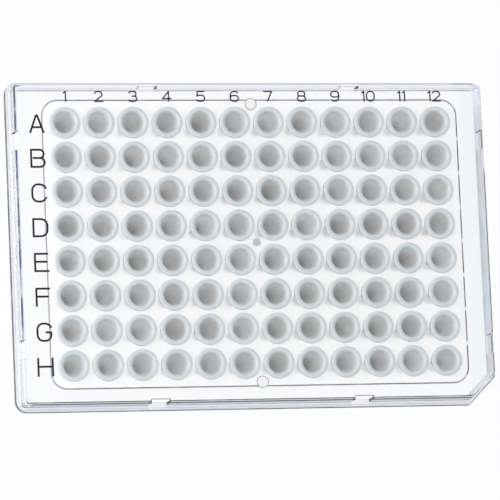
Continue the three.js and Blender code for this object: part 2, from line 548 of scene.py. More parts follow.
def foot_wall(finishes):
    """The foot's outer face: a painted grey line, standing in for what the plastic shows where it
    is looked at almost along it, lighter in patches.
    """
    finish = new_finish("foot_wall")
    patches = finish.noise(200, detail=2)
    tone = finish.blend(
        (patches * 2 - 0.6).clamped(), rgba(finishes.edge, 0.2), rgba(finishes.edge, 0.9)
    )
    return dark_plastic(finish, tone, patches * 0.2)


def skirt_polycarbonate(finishes):
    """The skirt's walls, with a painted tone for each side, for how light falls there, in
    drawn-out streaks.

    Past column 12 the walls are hazier, with painted reflections in faint tints of cream, pink and
    blue.
    """
    finish = new_finish("skirt_polycarbonate")
    streaks = finish.noise(800, detail=2, stretch=(0.03, 0.03, 1))
    tone = side_tones(
        finish, rgba(finishes.skirt_a), rgba(finishes.skirt_h), rgba(finishes.skirt_1),
        rgba(finishes.skirt_1), inset_12=CUT_CORNER,
    )
    clear = finish.principled(
        base_color=finish.blend(
            (streaks * 3 - 1.3).clamped(), tone, rgba(finishes.skirt_12, 0.9)
        ),
        roughness=streaks * 0.1, transmission_weight=1.0, ior=CLEAR_INDEX,
    )
    # painted reflections: faint tints of cream, pink and blue
    tints = finish.ramp(finish.noise(110, detail=3, stretch=(5, 1, 1)), (
        (0.36, (1.0, 0.97, 0.90)), (0.45, (1.0, 0.90, 0.93)),
        (0.53, (0.82, 0.93, 1.0)), (0.62, (1.0, 1.0, 1.0)),
    ))
    hazy = finish.principled(
        base_color=tints, roughness=0.5, ior=CLEAR_INDEX, specular_ior_level=0.2,
    )
    return finish.surface(finish.mix_shaders(past_column_12(finish) * 0.6, clear, hazy))


def painted_navy_reflection(finish, finishes, streaks):
    """A painted reflection: streaks of dark navy, standing in for the dark surround that the wall
    beside column 1 shows, fading out towards row H.
    """
    _, y, _ = finish.axes()
    # the painted navy reflection fades out towards row H
    reflection_fade = ((-20 * MM - y) * 120).clamped()
    return finish.blend(
        (streaks * 3.2 - 1.5 + reflection_fade).clamped(), rgba(finishes.navy_reflection), rgba(finishes.skirt_1)
    )


def wall_seen_endwise(finishes):
    """The deck over the skirt's wall, which looks down the wall's height. Its tones are painted
    light: a painted tone for each side, and a painted navy reflection in streaks beside column 1.
    """
    finish = new_finish("wall_seen_endwise")
    streaks = finish.noise(500, detail=3, roughness=0.7, stretch=(1, 0.3, 1))
    tone = side_tones(
        finish, rgba(finishes.skirt_a), rgba(finishes.skirt_h, 0.95),
        painted_navy_reflection(finish, finishes, streaks), rgba(finishes.skirt_12),
    )
    return clear_plastic(finish, tone, streaks * 0.1, 0.6)


def wall_line(finishes, sizes):
    """The wall's outer edge, as a painted line for the dark surround that it reflects: dark before
    row H and, from row C on, past column 12, light on the other sides and at the cut corner, with
    the painted navy reflection beside column 1.
    """
    finish = new_finish("wall_line")
    streaks = finish.noise(500, detail=3, roughness=0.7, stretch=(1, 0.3, 1))
    x, y, _ = finish.axes()
    light, dark = rgba(finishes.edge, 2.6), rgba(finishes.edge, 0.25)
    below_row_b = ((20 * MM - y) * 400).clamped()
    tone = side_tones(
        finish, light, dark, painted_navy_reflection(finish, finishes, streaks),
        finish.blend(below_row_b, light, dark),
    )
    cut_corner = FRAME_HIGH.x + FRAME_HIGH.y - sizes.corner_cut - 2.5 * MM
    at_cut_corner = ((x - y - cut_corner) * (1 / FADE)).clamped()
    return dark_plastic(finish, finish.blend(at_cut_corner, tone, light), 0.1)


def frosted_bore(finishes, sizes):
    """The bore's wall, painted lighter down towards its floor where it is deep under the deck, as
    painted light, with painted shade under the flare's edge.
    """
    finish = new_finish("frosted_bore")
    _, _, z = finish.axes()
    depth = (sizes.rim - z) * (1 / (sizes.rim - sizes.floor))  # 0 at the rim, 1 at the floor
    warmth = (finish.noise(75, detail=1) * 3 - 1).clamped() * 0.28
    shade = (1.35 - depth * 9).clamped() * 0.4  # painted shade, under the flare's edge
    wall = finish.blend(depth.clamped(), rgba(finishes.bore), rgba(finishes.bore_floor))
    wall = finish.blend(warmth, wall, rgba(finishes.warm_bore))
    return milky(finish, finish.blend(shade, wall, rgba(finishes.bore, 0.45)), reach=0.5)


def frosted_polypropylene(name, colour):
    """Natural polypropylene: milky, with a fine moulded grain."""
    finish = new_finish(name)
    cloud = finish.noise(250, detail=2)
    return milky(finish, finish.blend(cloud.clamped(), rgba(colour, 0.96), rgba(colour, 1.06)))


def milky(finish, tone, reach=1.0):
    """Makes a tone of milky polypropylene the surface. Light reaches so many mm through it."""
    grain = finish.noise(4200, detail=2)
    return finish.surface(finish.principled(
        base_color=tone,
        roughness=grain * 0.12 + 0.36,
        ior=MILKY_INDEX,
        subsurface_weight=1.0,
        subsurface_radius=(0.9 * MM, 0.95 * MM, 1.0 * MM),
        subsurface_scale=reach,
        normal=finish.bump(grain, 0.01 * MM, 0.4),
    ))


def hazy_polypropylene():
    """The web: polypropylene so thin that it is almost clear."""
    finish = new_finish("hazy_polypropylene")
    haze = finish.noise(500, detail=2)
    return finish.surface(finish.principled(
        base_color=WHITE,
        roughness=haze * 0.08 + 0.16,
        transmission_weight=0.82,
        ior=MILKY_INDEX,
    ))


def web_bead(finishes, grid):
    """The painted dark line of the web's edge on the deck, lighter beside column 1 and in patches;
    past column 12 it is broken into painted reflections of the wells, light midway between the
    rows.
    """
    finish = new_finish("web_bead")
    patches = finish.noise(260, detail=2)
    _, y, _ = finish.axes()
    wave = (y * (math.pi / grid.pitch)).cosine()
    gaps = (wave * wave * 12 - 11).clamped()  # painted light gaps, midway between the rows
    dashes = finish.blend(gaps, rgba(finishes.bead, 0.5), rgba(finishes.bead_gap))
    tone = side_tones(
        finish, rgba(finishes.bead), rgba(finishes.bead), rgba(finishes.bead, 2.2), dashes,
        inset=10 * MM, inset_12=10 * MM,
    )
    return finish.surface(finish.principled(
        base_color=finish.blend((patches * 2 - 0.8).clamped(), tone, rgba(finishes.bead, 2.4)),
        roughness=0.3,
        ior=MILKY_INDEX,
    ))


def screen_ink(finishes):
    """Black screen-printing ink, slightly uneven."""
    finish = new_finish("screen_ink")
    body = finish.noise(2600, detail=2)
    return finish.surface(finish.principled(
        base_color=finish.blend(body.clamped(), rgba(finishes.ink), rgba(finishes.ink, 2.2)),
        roughness=body * 0.2 + 0.4,
        specular_ior_level=0.2,
        normal=finish.bump(body, 0.01 * MM, 0.3),
    ))


# ---- The frame ---------------------------------------------------

DECK, EDGE, SKIRT, WALL_END, FOOT, RIM, LINE = range(7)  # the frame's materials
CORNER_SEGMENTS = 10
EDGE_SEGMENTS = 2
HOLE_SIDES = 28
OVERRUN = 1 * MM  # a cut runs this far past what it opens
FLAT_ANGLE = math.radians(1)  # faces that meet at less are one face
SHARP_ANGLE = math.radians(35)  # edges that turn by more are rounded
NOTCH_PITCHES = 3  # from the middle of a side to the middle of a notch
NOTCH_SPLAY = 4  # a notch is wider at the deck by this many times the rounding of an edge


def add_outline(bm, sizes, inset, radius, level):
    """Adds the frame's outline at a level, drawn in from the foot. H12's corner is cut off."""
    before = set(bm.faces)
    x = sizes.foot_length / 2 - inset
    y = sizes.foot_width / 2 - inset
    cut = sizes.corner_cut - inset * (2 - math.sqrt(2))  # which draws the cut in by the same inset
    corners = [(x, y), (-x, y), (-x, -y), (x - cut, -y), (x, -y + cut)]
    verts = [bm.verts.new((*corner, level)) for corner in corners]
    bm.faces.new(verts)
    for vert in verts[:3]:
        round_corner(bm, vert, radius, CORNER_SEGMENTS)
    return next(face for face in bm.faces if face not in before)


def frame_shell(sizes):
    """The stepped skirt and the deck, as one solid without its notches and holes."""
    wall = sizes.ledge_reach + sizes.wall
    ledge_top = sizes.deck_top - sizes.ledge_depth
    ledge_underside = ledge_top - sizes.wall
    lip_corner = sizes.foot_corner - sizes.wall
    # Each outline's inset, corner, level and the material of the band that leads up to it.
    steps = (
        (wall, sizes.inner_corner, sizes.deck_top - sizes.deck, DECK),
        (wall, sizes.inner_corner, ledge_underside, SKIRT),
        (sizes.wall, lip_corner, ledge_underside, SKIRT),
        (sizes.wall, lip_corner, sizes.foot, SKIRT),
        (0, sizes.foot_corner, sizes.foot, SKIRT),
        (0, sizes.foot_corner, ledge_top, FOOT),
        # The RIM, LINE, WALL_END and last EDGE bands are flat strips of the ledge and the deck
        # that carry painted lines and tones.
        (sizes.rim_line, sizes.foot_corner, ledge_top, RIM),
        (sizes.ledge_reach, sizes.wall_corner, ledge_top, SKIRT),
        (sizes.ledge_reach, sizes.wall_corner, sizes.deck_top, SKIRT),
        (sizes.ledge_reach + sizes.seam, sizes.wall_corner, sizes.deck_top, LINE),
        (wall - sizes.seam, sizes.inner_corner, sizes.deck_top, WALL_END),
        (wall, sizes.inner_corner, sizes.deck_top, EDGE),
    )
    bm = bmesh.new()
    # Bridged as an even stack, and only then set at their own levels: loops that lie in one plane
    # would be bridged crosswise.
    outlines = [
        add_outline(bm, sizes, inset, radius, index * MM)
        for index, (inset, radius, _, _) in enumerate(steps)
    ]
    rings = [(outline.edges[:], outline.verts[:]) for outline in outlines]
    bmesh.ops.delete(bm, geom=outlines[1:-1], context="FACES_ONLY")
    for (lower, _), (upper, _), (_, _, _, material) in zip(rings, rings[1:], steps[1:]):
        bridge = bmesh.ops.bridge_loops(bm, edges=lower + upper)
        for face in bridge["faces"]:
            face.material_index = material
    for (_, verts), (_, _, level, _) in zip(rings, steps):
        for vert in verts:
            vert.co.z = level
    bmesh.ops.recalc_face_normals(bm, faces=bm.faces)
    return bm


def sides_of(face):
    """The vector along each of a face's edges."""
    return [edge.verts[1].co - edge.verts[0].co for edge in face.edges]


def add_notch_block(bm, sizes, middle, spans):
    """Adds the block that opens one notch, splayed out where it leaves the deck."""
    # A hair under the ledge's face, so that the cut doesn't lie flush with it.
    bottom = sizes.deck_top - sizes.ledge_depth - HAIR
    square = bmesh.ops.create_grid(
        bm, x_segments=1, y_segments=1, size=0.5,
        matrix=Matrix.Translation((*middle, bottom)) @ Matrix.Diagonal((*spans, 1, 1)),
    )
    face = square["verts"][0].link_faces[0]
    for rise, splay in ((-sizes.edge, 0), (sizes.edge, NOTCH_SPLAY * sizes.edge)):
        lower = face
        raised = bmesh.ops.extrude_face_region(bm, geom=[lower])["geom"]
        face = next(item for item in raised if isinstance(item, bmesh.types.BMFace))
        for vert in face.verts:
            vert.co.z = sizes.deck_top + rise
        bmesh.ops.scale(
            bm, vec=(*(1 + splay / span for span in spans), 1),
            space=Matrix.Translation((-middle[0], -middle[1], 0)), verts=face.verts[:],
        )
    # The second extrusion leaves the face that it started from inside the block.
    bmesh.ops.delete(bm, geom=[lower], context="FACES_ONLY")


def notch_blocks(sizes, grid):
    """The blocks that open the gripper notches, two to a side."""
    bm = bmesh.new()
    depth = sizes.notch_depth + OVERRUN
    inset = sizes.ledge_reach + sizes.notch_depth - depth / 2
    wall_x = sizes.foot_length / 2 - inset
    wall_y = sizes.foot_width / 2 - inset
    for side in (-1, 1):
        for along in (-NOTCH_PITCHES * grid.pitch, NOTCH_PITCHES * grid.pitch):
            add_notch_block(bm, sizes, (along, side * wall_y), (sizes.notch_width, depth))
            add_notch_block(bm, sizes, (side * wall_x, along), (depth, sizes.notch_width))
    bmesh.ops.recalc_face_normals(bm, faces=bm.faces)
    for face in bm.faces:
        if 0.1 < abs(face.normal.z) < 0.9:
            face.material_index = EDGE  # the splay takes the painted edge line
        elif max(span.xy.length for span in sides_of(face)) < 0.75 * sizes.notch_width:
            face.material_index = FOOT  # the notch's ends take the foot's painted grey line
    return bm


def round_edges(piece, sizes):
    """Rounds the frame's sharp edges, and gives each rounded face the material of its painted
    line.

    Below the ledge's top, the edges that look outward are the foot's and the rest the skirt's.
    """
    bm = bmesh.new()
    bm.from_mesh(piece.data)
    bmesh.ops.dissolve_limit(
        bm, angle_limit=FLAT_ANGLE, verts=bm.verts[:], edges=bm.edges[:], delimit={"MATERIAL"},
    )
    sharp = [
        edge for edge in bm.edges if edge.is_manifold and edge.calc_face_angle() > SHARP_ANGLE
    ]
    rounded = bmesh.ops.bevel(
        bm, geom=sharp, affect="EDGES", offset=sizes.edge, offset_type="OFFSET",
        segments=EDGE_SEGMENTS, profile=0.5, material=-1, clamp_overlap=True,
    )
    for face in rounded["faces"]:
        middle = face.calc_center_median()
        if middle.z > sizes.deck_top - sizes.edge:
            face.material_index = LINE
        elif middle.z > sizes.deck_top - sizes.ledge_depth:
            face.material_index = EDGE
        else:
            face.material_index = FOOT if face.normal.xy.dot(middle.xy) > 0 else SKIRT
    bm.to_mesh(piece.data)
    bm.free()


def deck_holes(sizes, tubes, grid):
    """The plugs that open the deck round the tubes."""
    bm = bmesh.new()
    radius = tube_radius(tubes, sizes.deck_top) + sizes.hole_gap
    bottom = sizes.deck_top - sizes.deck - OVERRUN
    for place in well_places(grid):
        add_cylinder(bm, radius, bottom, sizes.deck_top + OVERRUN, place, HOLE_SIDES)
    return bm


class PLATE_OT_frame(Operator):
    """Models the clear frame: deck, stepped skirt, gripper notches and the cut corner at H12"""

    bl_idname = "plate.frame"
    bl_label = "Clear frame"

    def execute(self, context):
        scene = context.scene
        sizes = scene.plate_frame
        finishes = scene.plate_finishes
        shell = add_piece("frame_shell", frame_shell(sizes), [
            clear_polycarbonate(finishes),
            # Each side's gain lightens or darkens the painted edge lines on that side.
            moulded_edge(
                "moulded_edge", finishes, row_a=2.6, row_h=0.2, column_1=2.5, column_12=2.5
            ),
            skirt_polycarbonate(finishes),
            wall_seen_endwise(finishes),
            foot_wall(finishes),
            moulded_edge(
                "ledge_rim", finishes, row_a=2.3, row_h=2.4, column_1=2.9, column_12=1.6
            ),
            wall_line(finishes, sizes),
        ])
        round_edges(shell, sizes)
        cut_away(shell, notch_blocks(sizes, scene.plate_grid))
        cut_away(shell, deck_holes(sizes, scene.plate_tubes, scene.plate_grid))
        shell.visible_shadow = False  # clear plastic lets the lamps through
        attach(shell, "root")
        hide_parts("frame")
        return {"FINISHED"}


# ---- The tubes ---------------------------------------------------

COLLAR, BORE, TUBE = range(3)  # the tubes' materials
PROFILE_SEGMENTS = 3  # in each rounding of a tube's profile
MERGE_DISTANCE = 0.001 * MM


def bore_radius(sizes, level):
    """Radius of the bore at a level. It narrows evenly from its mouth to its floor."""
    rise = (level - sizes.floor) / (sizes.rim - sizes.floor)
    return sizes.floor_radius + rise * (sizes.mouth - sizes.floor_radius)


def tube_radius(sizes, level):
    """Radius of the outside of a tube at a level."""
    return bore_radius(sizes, level) + sizes.wall


def one_tube(sizes, web):
    """One tube with its collar: a rounded profile, spun about the well's axis."""
    flare_foot = sizes.rim - sizes.flare_depth
    # Each corner's radius, level and rounding.
    corners = (
        (0, sizes.tip, 0),
        (tube_radius(sizes, sizes.tip), sizes.tip, sizes.tip_rounding),
        (tube_radius(sizes, web.underside), web.underside, 0),
        (sizes.collar, web.underside, 0),
        (sizes.collar, sizes.rim, sizes.rounding),
        (sizes.flare, sizes.rim, sizes.mouth_rounding),
        (bore_radius(sizes, flare_foot), flare_foot, 0),
        (sizes.floor_radius, sizes.floor, sizes.floor_rounding),
        (0, sizes.floor, 0),
    )
    bm = bmesh.new()
    verts = [bm.verts.new((radius, 0, level)) for radius, level, _ in corners]
    for pair in zip(verts, verts[1:]):
        bm.edges.new(pair)
    for vert, (_, _, rounding) in zip(verts, corners):
        if rounding:
            round_corner(bm, vert, rounding, PROFILE_SEGMENTS)
    bmesh.ops.spin(
        bm, geom=bm.verts[:] + bm.edges[:], cent=(0, 0, 0), axis=(0, 0, 1),
        angle=2 * math.pi, steps=sizes.sides, use_merge=True,
    )
    bmesh.ops.remove_doubles(bm, verts=bm.verts, dist=MERGE_DISTANCE)
    bmesh.ops.recalc_face_normals(bm, faces=bm.faces)
    for face in bm.faces:
        middle = face.calc_center_median()
        inside = middle.xy.length < bore_radius(sizes, middle.z) + sizes.wall / 2
        if inside and middle.z < flare_foot:
            face.material_index = BORE
        elif middle.z < web.underside:
            face.material_index = TUBE
        else:
            face.material_index = COLLAR
    return bm


def at_each_well(bm, grid):
    """Copies what a bmesh holds, from the origin to each well."""
    first = bm.verts[:] + bm.edges[:] + bm.faces[:]
    start, *others = well_places(grid)
    for place in others:
        copy = bmesh.ops.duplicate(bm, geom=first)
        bmesh.ops.translate(bm, vec=place, verts=verts_of(copy["geom"]))
    bmesh.ops.translate(bm, vec=start, verts=verts_of(first))
    return bm


class PLATE_OT_tubes(Operator):
    """Models the 96 frosted tubes, each with its collar and flared mouth"""

    bl_idname = "plate.tubes"
    bl_label = "Tubes"

    def execute(self, context):
        scene = context.scene
        bm = at_each_well(one_tube(scene.plate_tubes, scene.plate_web), scene.plate_grid)
        finishes = scene.plate_finishes
        tubes = add_piece("tubes", bm, [
            frosted_polypropylene("frosted_collar", finishes.collar),
            frosted_bore(finishes, scene.plate_tubes),
            # the outside of the tubes, painted light against the shade under the deck
            frosted_polypropylene("frosted_tube", finishes.tube),
        ], smooth=True)
        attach(tubes, "root")
        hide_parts("wells")
        return {"FINISHED"}


# ---- The web -----------------------------------------------------

SHEET, BEAD = range(2)  # the materials of the web and its ears
EAR_SIDES = 32
GATE_SIDES = 24


def web_sheet(sizes, grid):
    """The sheet with its rounded corners and its beaded edge."""
    bm = bmesh.new()
    x = (grid.columns - 1) * grid.pitch / 2 + sizes.margin
    y = (grid.rows - 1) * grid.pitch / 2 + sizes.margin
    corners = [(x, y), (-x, y), (-x, -y), (x, -y)]
    verts = [bm.verts.new((*corner, sizes.underside)) for corner in corners]
    bm.faces.new(verts)
    for vert in verts:
        round_corner(bm, vert, sizes.corner, CORNER_SEGMENTS)
    raised = bmesh.ops.extrude_face_region(bm, geom=bm.faces[:])
    thickness = sizes.top - sizes.underside
    bmesh.ops.translate(bm, vec=(0, 0, thickness), verts=verts_of(raised["geom"]))
    bmesh.ops.recalc_face_normals(bm, faces=bm.faces)
    top = max(bm.faces, key=lambda face: face.calc_center_median().z)
    bead = bmesh.ops.inset_region(bm, faces=[top], thickness=sizes.edge, use_even_offset=True)
    rim = [face for face in bm.faces if abs(face.normal.z) < 0.5]
    # the bead and the sheet's rim take the painted dark line
    for face in bead["faces"] + rim:
        face.material_index = BEAD
    return bm


def ear_places(sizes, grid):
    """The middles of the two ears, by the middles of the web's long sides."""
    y = (grid.rows - 1) * grid.pitch / 2 + sizes.margin - sizes.ear_inset
    return [Vector((0, side * y, 0)) for side in (-1, 1)]


def web_holes(sizes, tubes, grid):
    """The plugs that open the sheet for the collars and the ears."""
    bm = bmesh.new()
    bottom, top = sizes.underside - OVERRUN, sizes.top + OVERRUN
    for place in well_places(grid):
        add_cylinder(bm, tubes.collar - tubes.rounding, bottom, top, place, HOLE_SIDES)
    for place in ear_places(sizes, grid):
        add_cylinder(bm, sizes.ear, bottom, top, place, EAR_SIDES)
    return bm


def ear_discs(sizes, grid):
    """The ears: two discs with beaded edges, a hair clear of the sheet."""
    bm = bmesh.new()
    for place in ear_places(sizes, grid):
        add_cylinder(bm, sizes.ear - HAIR, sizes.underside, sizes.top, place, EAR_SIDES)
    tops = [face for face in bm.faces if face.normal.z > 0.5]
    bmesh.ops.inset_individual(bm, faces=tops, thickness=sizes.edge / 2, use_even_offset=True)
    # the ears' rims take the bead's painted dark line
    for face in bm.faces:
        if face not in tops and face.normal.z > -0.5:
            face.material_index = BEAD
    return bm


def gate_disc(sizes):
    """The mark that the gate leaves in the middle of the plate."""
    bm = bmesh.new()
    add_cylinder(bm, sizes.gate, sizes.top, sizes.top + sizes.gate_height, Vector(), GATE_SIDES)
    return bm


class PLATE_OT_web(Operator):
    """Models the thin web between the tubes, with its ears and its gate mark"""

    bl_idname = "plate.web"
    bl_label = "Web"

    def execute(self, context):
        scene = context.scene
        sizes = scene.plate_web
        grid = scene.plate_grid
        materials = [hazy_polypropylene(), web_bead(scene.plate_finishes, grid)]
        web = add_piece("web", web_sheet(sizes, grid), materials)
        cut_away(web, web_holes(sizes, scene.plate_tubes, grid))
        web.visible_shadow = False  # so thin that it lets the lamps through
        mark = add_piece("gate_mark", gate_disc(sizes), [bpy.data.materials["frosted_collar"]])
        ears = add_piece("ears", ear_discs(sizes, grid), materials)
        for piece in (web, mark, ears):
            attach(piece, "root")
            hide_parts("wells")
        return {"FINISHED"}


# ---- The print ---------------------------------------------------

# Each sign's width and strokes, at a height of 1. A stroke says whether it closes on itself, and
# gives the corners that it passes, each as x, y and its rounding.
OPEN, CLOSED = False, True
SIGNS = {
    "A": (0.78, [
        (OPEN, [(0, 0, 0), (0.37, 1, 0.03), (0.43, 1, 0.03), (0.78, 0, 0)]),
        (OPEN, [(0.11, 0.30, 0), (0.67, 0.30, 0)]),
    ]),
    "B": (0.78, [
        (OPEN, [(0.14, 0.52, 0), (0.74, 0.52, 0.24), (0.74, 1, 0.24), (0, 1, 0), (0, 0, 0),
                (0.78, 0, 0.25), (0.78, 0.52, 0.25), (0.4, 0.52, 0)]),
    ]),
    "C": (0.80, [
        (OPEN, [(0.80, 0.78, 0), (0.64, 1, 0.18), (0, 1, 0.34), (0, 0, 0.34), (0.64, 0, 0.18),
                (0.80, 0.22, 0)]),
    ]),
    "D": (0.82, [(CLOSED, [(0, 0, 0), (0, 1, 0), (0.82, 1, 0.38), (0.82, 0, 0.38)])]),
    "E": (0.78, [
        (OPEN, [(0.74, 1, 0), (0, 1, 0), (0, 0, 0), (0.78, 0, 0)]),
        (OPEN, [(0.08, 0.54, 0), (0.68, 0.54, 0)]),
    ]),
    "F": (0.76, [
        (OPEN, [(0.76, 1, 0), (0, 1, 0), (0, 0, 0)]),
        (OPEN, [(0.04, 0.54, 0), (0.68, 0.54, 0)]),
    ]),
    "G": (0.80, [
        (OPEN, [(0.80, 0.78, 0), (0.64, 1, 0.18), (0, 1, 0.34), (0, 0, 0.34), (0.80, 0, 0.34),
                (0.80, 0.49, 0), (0.52, 0.49, 0)]),
    ]),
    "H": (0.84, [
        (OPEN, [(0, 0, 0), (0, 1, 0)]),
        (OPEN, [(0.84, 0, 0), (0.84, 1, 0)]),
        (OPEN, [(0, 0.53, 0), (0.84, 0.53, 0)]),
    ]),
    "0": (0.80, [(CLOSED, [(0, 0, 0.38), (0, 1, 0.38), (0.80, 1, 0.38), (0.80, 0, 0.38)])]),
    "1": (0.22, [(OPEN, [(0, 0.84, 0), (0.22, 1, 0), (0.22, 0, 0)])]),
    "2": (0.82, [
        (OPEN, [(0, 0.80, 0), (0.06, 1, 0.20), (0.76, 1, 0.32), (0.76, 0.60, 0.12), (0, 0, 0),
                (0.82, 0, 0)]),
    ]),
    "3": (0.80, [
        (OPEN, [(0, 0.86, 0), (0.08, 1, 0.14), (0.74, 1, 0.23), (0.74, 0.53, 0.23),
                (0.34, 0.53, 0)]),
        (OPEN, [(0.34, 0.53, 0), (0.80, 0.53, 0.26), (0.80, 0, 0.26), (0.06, 0, 0.14),
                (0, 0.14, 0)]),
    ]),
    "4": (0.86, [(OPEN, [(0.62, 0, 0), (0.62, 1, 0), (0, 0.28, 0), (0.86, 0.28, 0)])]),
    "5": (0.80, [
        (OPEN, [(0.74, 1, 0), (0.08, 1, 0), (0.03, 0.52, 0), (0.20, 0.62, 0.05),
                (0.80, 0.62, 0.30), (0.80, 0, 0.30), (0.06, 0, 0.16), (0, 0.16, 0)]),
    ]),
    "6": (0.82, [
        (OPEN, [(0.74, 0.86, 0), (0.64, 1, 0.16), (0, 1, 0.40), (0, 0, 0.29), (0.82, 0, 0.29),
                (0.82, 0.58, 0.29), (0, 0.58, 0.25), (0, 0.32, 0)]),
    ]),
    "7": (0.80, [(OPEN, [(0, 1, 0), (0.80, 1, 0), (0.34, 0, 0)])]),
    "8": (0.82, [
        (CLOSED, [(0.05, 0.53, 0.23), (0.05, 1, 0.23), (0.77, 1, 0.23), (0.77, 0.53, 0.23)]),
        (CLOSED, [(0, 0, 0.26), (0, 0.53, 0.26), (0.82, 0.53, 0.26), (0.82, 0, 0.26)]),
    ]),
    "9": (0.82, [
        (OPEN, [(0.08, 0.14, 0), (0.18, 0, 0.16), (0.82, 0, 0.40), (0.82, 1, 0.29), (0, 1, 0.29),
                (0, 0.42, 0.29), (0.82, 0.42, 0.25), (0.82, 0.68, 0)]),
    ]),
}
SIGN_GAP = 0.28  # between the signs of a number
BEND_SEGMENTS = 5  # in each rounded corner of a stroke
END_SIDES = 12  # of the disc that rounds a stroke's end
OVERLAP_STEP = 0.0004 * MM  # between the tops of overlapping runs and ends, so that none lie flush


def smooth_runs(points, closed):
    """Parts a stroke at its sharp corners. Yields each run's corners, and whether it closes."""
    sharp = [index for index, (_, rounding) in enumerate(points) if not rounding]
    if closed and not sharp:
        yield points, True
        return
    if closed:
        points = points[sharp[0]:] + points[:sharp[0] + 1]
        sharp = [index for index, (_, rounding) in enumerate(points) if not rounding]
    for start, end in zip(sharp, sharp[1:]):
        yield points[start:end + 1], False


def add_run(bm, points, closed, height, rise):
    """Adds one smooth run of a stroke as a standing ribbon."""
    wires = bmesh.new()
    verts = [wires.verts.new(spot) for spot, _ in points]
    for pair in zip(verts, verts[1:] + (verts[:1] if closed else [])):
        wires.edges.new(pair)
    for vert, (_, rounding) in zip(verts, points):
        if rounding:
            round_corner(wires, vert, rounding * height, BEND_SEGMENTS)
    raised = bmesh.ops.extrude_edge_only(wires, edges=wires.edges[:])
    bmesh.ops.translate(wires, vec=(0, 0, rise), verts=verts_of(raised["geom"]))
    bmesh.ops.recalc_face_normals(wires, faces=wires.faces)
    mesh = bpy.data.meshes.new("run")
    wires.to_mesh(mesh)
    wires.free()
    bm.from_mesh(mesh)
    bpy.data.meshes.remove(mesh)


def sign_strokes(word, middle, height):
    """The strokes of a row letter or a column number, centred on the middle of its foot."""
    widths = [SIGNS[sign][0] for sign in word]
    left = -(sum(widths) + SIGN_GAP * (len(word) - 1)) / 2
    for sign, width in zip(word, widths):
        for closed, corners in SIGNS[sign][1]:
            points = [
                (middle + Vector((left + x, y, 0)) * height, rounding)
                for x, y, rounding in corners
            ]
            yield points, closed
        left += width + SIGN_GAP


def ink_piece(name, words, height, stroke, rise, material):
    """Prints words as ribbons of ink of an even width, with round ends and corners.

    Each word comes with the middle of its foot, where its ink starts to rise.
    """
    bm = bmesh.new()
    ends = []
    for word, foot in words:
        runs = [
            run for line in sign_strokes(word, foot, height) for run in smooth_runs(*line)
        ]
        for index, (points, closed) in enumerate(runs):
            top = rise + index * 3 * OVERLAP_STEP  # a run and its two ends each take a step
            add_run(bm, points, closed, height, top)
            if not closed:
                ends += [
                    (points[0][0], top - OVERLAP_STEP),
                    (points[-1][0], top - 2 * OVERLAP_STEP),
                ]
    piece = add_piece(name, bm, [material])
    ribbon = piece.modifiers.new("stroke", "SOLIDIFY")
    ribbon.thickness = stroke
    ribbon.offset = 0
    apply_modifiers(piece)
    bm = bmesh.new()
    bm.from_mesh(piece.data)
    for end, top in ends:
        add_cylinder(bm, stroke / 2, 0, top, end, END_SIDES)
    bmesh.ops.recalc_face_normals(bm, faces=bm.faces)
    bm.to_mesh(piece.data)
    bm.free()
    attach(piece, "root")


class PLATE_OT_print(Operator):
    """Prints the row letters A to H and the column numbers 1 to 12 on the deck"""

    bl_idname = "plate.print"
    bl_label = "Print"

    def execute(self, context):
        scene = context.scene
        sizes = scene.plate_print
        grid = scene.plate_grid
        deck_top = scene.plate_frame.deck_top
        start = next(well_places(grid)) + Vector((0, 0, deck_top))
        drop = sizes.letter_drop + sizes.letter / 2
        letters = [
            (chr(ord("A") + row),
             start + Vector((-sizes.letter_place, -row * grid.pitch - drop, 0)))
            for row in range(grid.rows)
        ]
        numbers = [
            (str(column + 1),
             start + Vector((column * grid.pitch + sizes.number_shift, sizes.number_place, 0)))
            for column in range(grid.columns)
        ]
        rise = scene.plate_web.top + sizes.ink - deck_top
        ink = screen_ink(scene.plate_finishes)
        ink_piece("row_letters", letters, sizes.letter, sizes.letter_stroke, rise, ink)
        ink_piece("column_numbers", numbers, sizes.number, sizes.number_stroke, rise, ink)
        return {"FINISHED"}


# ---- The studio --------------------------------------------------

TABLE_SIZE = 6
TABLE_GLOW = 0.92  # the share of its own white in the table, where it is looked at
SOFTBOXES = {  # each with its share of the power, its size and its place
    "front_softbox": (1.0, 0.5, (-0.2, -0.05, 1.0)),
    "side_softbox": (1.1, 0.4, (-0.8, 0.1, 0.22)),
}
CARD_TONE = (0.30, 0.30, 0.42, 1)
CARD_WIDTH = 1.3
CARD_HEIGHT = 0.24
CARD_DISTANCE = 0.6  # from the middle of the plate
SENSOR_WIDTH = 36  # in millimetres, as the lens
CLIP_END = 10


def seen_directly(finish):
    """1 for rays from the camera, and for what gloss and clear plastic show of them."""
    path = finish.node("ShaderNodeLightPath")
    camera = Value(finish, path.outputs["Is Camera Ray"])
    glossy = Value(finish, path.outputs["Is Glossy Ray"])
    through = Value(finish, path.outputs["Is Transmission Ray"])
    return (camera + glossy + through).clamped()


def studio_table(finishes):
    """A matt white table that stays bright where it is looked at and keeps soft shadows."""
    finish = new_finish("studio_table")
    mottle = finish.noise(8, detail=1)
    matt = finish.node("ShaderNodeBsdfDiffuse", {}, {
        "Color": finish.blend(
            mottle.clamped(), rgba(finishes.table, 0.99), rgba(finishes.table, 1.01)
        ),
    })
    glow = finish.node("ShaderNodeEmission", {}, {"Color": WHITE, "Strength": 1.0})
    return finish.surface(finish.mix_shaders(
        seen_directly(finish) * TABLE_GLOW, matt.outputs[0], glow.outputs[0]
    ))


